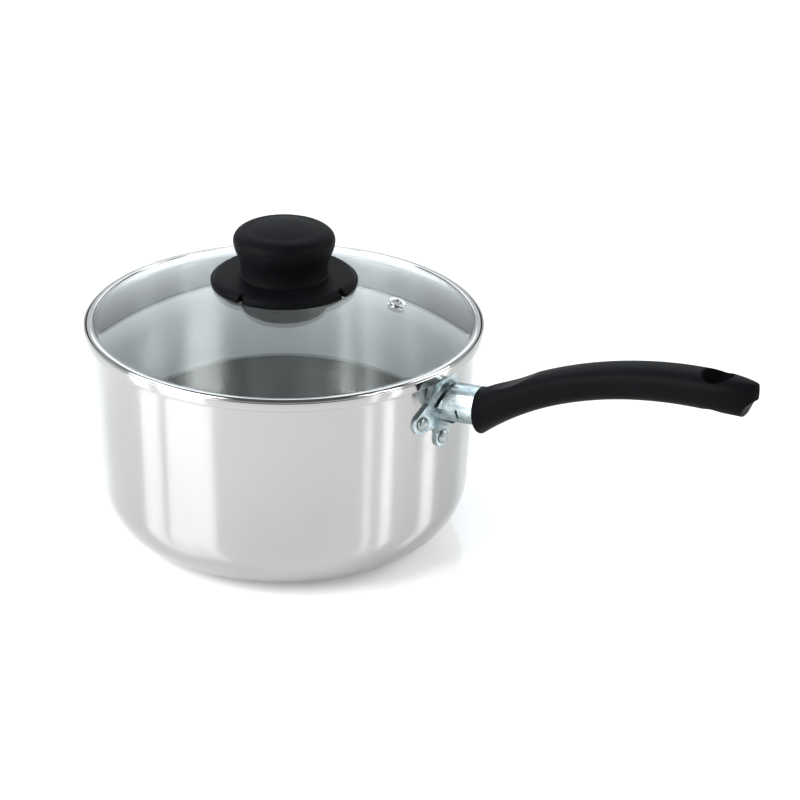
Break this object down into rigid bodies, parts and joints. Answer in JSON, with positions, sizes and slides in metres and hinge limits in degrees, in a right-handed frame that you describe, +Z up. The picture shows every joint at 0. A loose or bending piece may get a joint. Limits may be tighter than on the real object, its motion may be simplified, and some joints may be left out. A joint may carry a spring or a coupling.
{
  "type": "saucepan with glass lid",
  "caption": "Saucepan with straight wall, riveted stick handle, and a domed glass lid with a rim band, vent and knob.",
  "frame": {"origin": "centre of the flat underside of the pan's base", "axes": "+Z up along the pan's axis; +X along the handle, away from the pan; +Y completes a right-handed frame"},
  "size_m": [0.3454, 0.19, 0.1531],
  "materials": {
    "pan_aluminium": "polished",
    "zinc_steel": "satin",
    "rivet_metal": "satin",
    "black_phenolic": "satin",
    "screw_steel": "satin",
    "brass": "satin",
    "lid_glass": "clear",
    "band_stainless": "polished",
    "gasket_silicone": "matte"
  },
  "bodies": {
    "pan": {"pan_body": "pan_aluminium", "handle_bracket": "zinc_steel", "rivet_left": "rivet_metal", "rivet_right": "rivet_metal", "rivet_bottom": "rivet_metal", "handle_grip": "black_phenolic", "handle_screw": "screw_steel", "handle_washer": "screw_steel", "handle_insert": "brass"},
    "lid": {"lid_glass": "lid_glass", "lid_rim_band": "band_stainless", "vent_eyelet": "band_stainless", "knob_base": "black_phenolic", "knob_head": "black_phenolic", "knob_insert": "brass", "knob_screw": "screw_steel", "knob_washer": "screw_steel", "knob_gasket": "gasket_silicone"}
  },
  "joints": [
    {"name": "lid_lift", "type": "slide", "parent": "pan", "child": "lid", "axis": [0, 0, 1], "range_m": [0, 0.12]}
  ]
}
